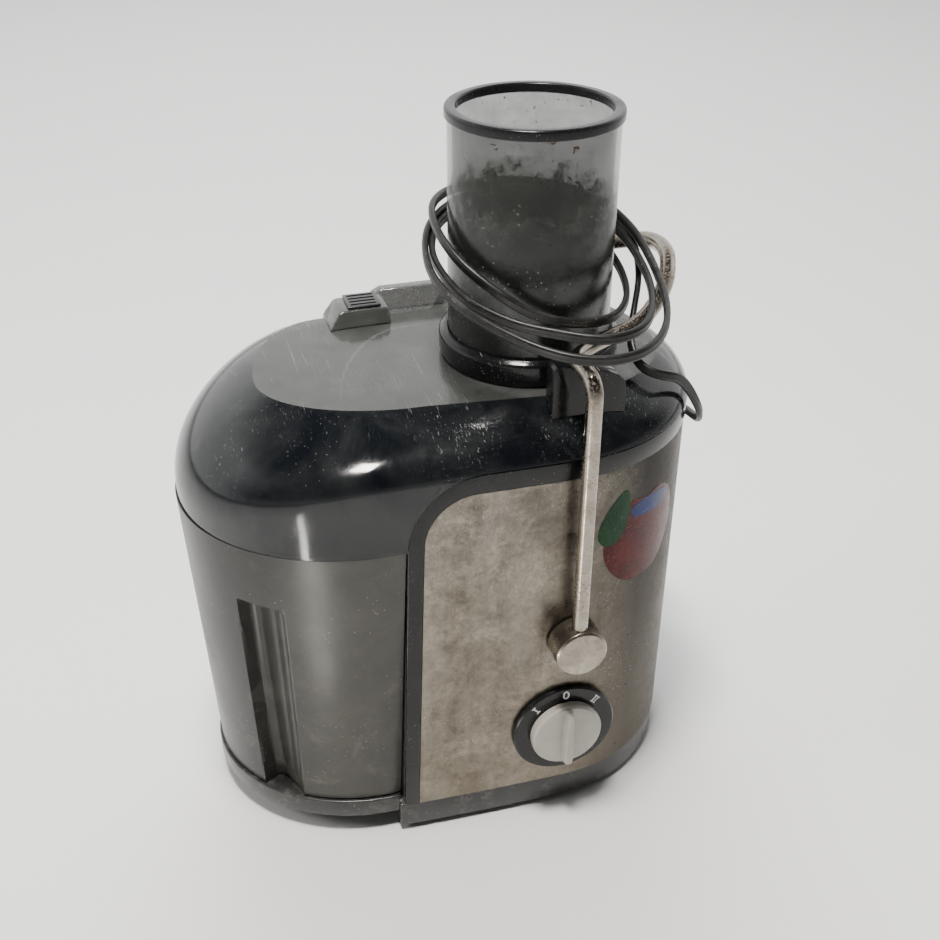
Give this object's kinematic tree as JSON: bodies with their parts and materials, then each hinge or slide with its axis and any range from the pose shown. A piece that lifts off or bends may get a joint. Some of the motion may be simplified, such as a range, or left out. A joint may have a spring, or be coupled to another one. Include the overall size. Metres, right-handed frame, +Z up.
{
  "type": "centrifugal juicer",
  "caption": "Electric juicer with a wide feed chute, strainer basket, tinted lid held by a swinging locking bail, side pulp bin, speed knob and wound mains cord.",
  "frame": {"origin": "middle of the footprint of the object without its cord, at the surface it stands on", "axes": "+Z up, +X towards the motor end with the chute, -X towards the pulp bin, -Y towards the front with the speed knob"},
  "size_m": [0.2833, 0.1928, 0.362],
  "materials": {
    "smoke": "smoke-tinted clear plastic, glossy, finely scratched",
    "gloss_black": "glossy black",
    "matt_black": "matt black moulded",
    "bin_grey": "dark grey satin",
    "panel_steel": "brushed sheet, stained with use",
    "steel": "plain turned and pressed steel",
    "chrome": "bright plated, worn",
    "knob_cream": "off-white, satin",
    "rubber_black": "soft black",
    "cord_black": "flexible sheath, satin",
    "copper": "copper winding and segments",
    "natural": "natural white moulded",
    "board_green": "printed board"
  },
  "bodies": {
    "base": {"bail_bush_front": "matt_black", "bail_bush_rear": "matt_black", "bail_saddle_front": "gloss_black", "bail_saddle_rear": "gloss_black", "base_shell": "matt_black", "bearing_lower": "steel", "bearing_upper": "steel", "bottom_plate": "matt_black", "brush_holder_left": "natural", "brush_holder_right": "natural", "chute_collar": "gloss_black", "chute_rim": "gloss_black", "circuit_board": "board_green", "cord_coil": "cord_black", "cord_gland": "cord_black", "feed_chute": "smoke", "foot_1": "rubber_black", "foot_2": "rubber_black", "foot_3": "rubber_black", "foot_4": "rubber_black", "front_panel": "panel_steel", "interlock_switch": "matt_black", "juice_bowl": "smoke", "lid": "smoke", "lid_vent_grille": "matt_black", "mains_lead": "cord_black", "mains_plug": "cord_black", "mains_tail": "cord_black", "motor_bracket_lower": "steel", "motor_bracket_upper": "steel", "motor_damper_1": "rubber_black", "motor_damper_2": "rubber_black", "motor_housing": "matt_black", "motor_post_1": "steel", "motor_post_2": "steel", "panel_trim": "gloss_black", "plug_pin_1": "steel", "plug_pin_2": "steel", "rotary_switch": "matt_black", "shaft_seal": "rubber_black", "speed_dial": "gloss_black", "stator": "steel"},
    "bail": {"bail_rod": "chrome", "bail_cap_front": "chrome", "bail_cap_rear": "chrome", "bail_pin_front": "steel", "bail_pin_rear": "steel", "interlock_cam": "matt_black"},
    "knob": {"speed_knob": "knob_cream", "knob_shaft": "steel"},
    "motor": {"motor_shaft": "steel", "armature": "copper", "commutator": "copper", "cooling_fan": "matt_black", "drive_coupling": "natural"},
    "basket": {"basket_hub": "natural", "grater_disc": "steel", "filter_screen": "steel", "basket_rim": "natural"},
    "bin": {"pulp_bin": "bin_grey"}
  },
  "joints": [
    {"name": "bail_swing", "type": "hinge", "parent": "base", "child": "bail", "pos_m": [0.0395, 0, 0.117], "axis": [0, 1, 0], "range_deg": [0, 95]},
    {"name": "speed_knob_turn", "type": "hinge", "parent": "base", "child": "knob", "pos_m": [0.0371, -0.0845, 0.057], "axis": [0, 1, 0], "range_deg": [-45, 45]},
    {"name": "motor_spin", "type": "hinge", "parent": "base", "child": "motor", "pos_m": [0.0395, 0, 0.1], "axis": [0, 0, 1], "continuous": true},
    {"name": "basket_spin", "type": "hinge", "parent": "base", "child": "basket", "pos_m": [0.0395, 0, 0.17], "axis": [0, 0, 1], "continuous": true},
    {"name": "pulp_bin_slide", "type": "slide", "parent": "base", "child": "bin", "axis": [-1, 0, 0], "range_m": [0, 0.17]}
  ],
  "couplings": [
    {"joint": "basket_spin", "follows": "motor_spin", "ratio": 1}
  ]
}
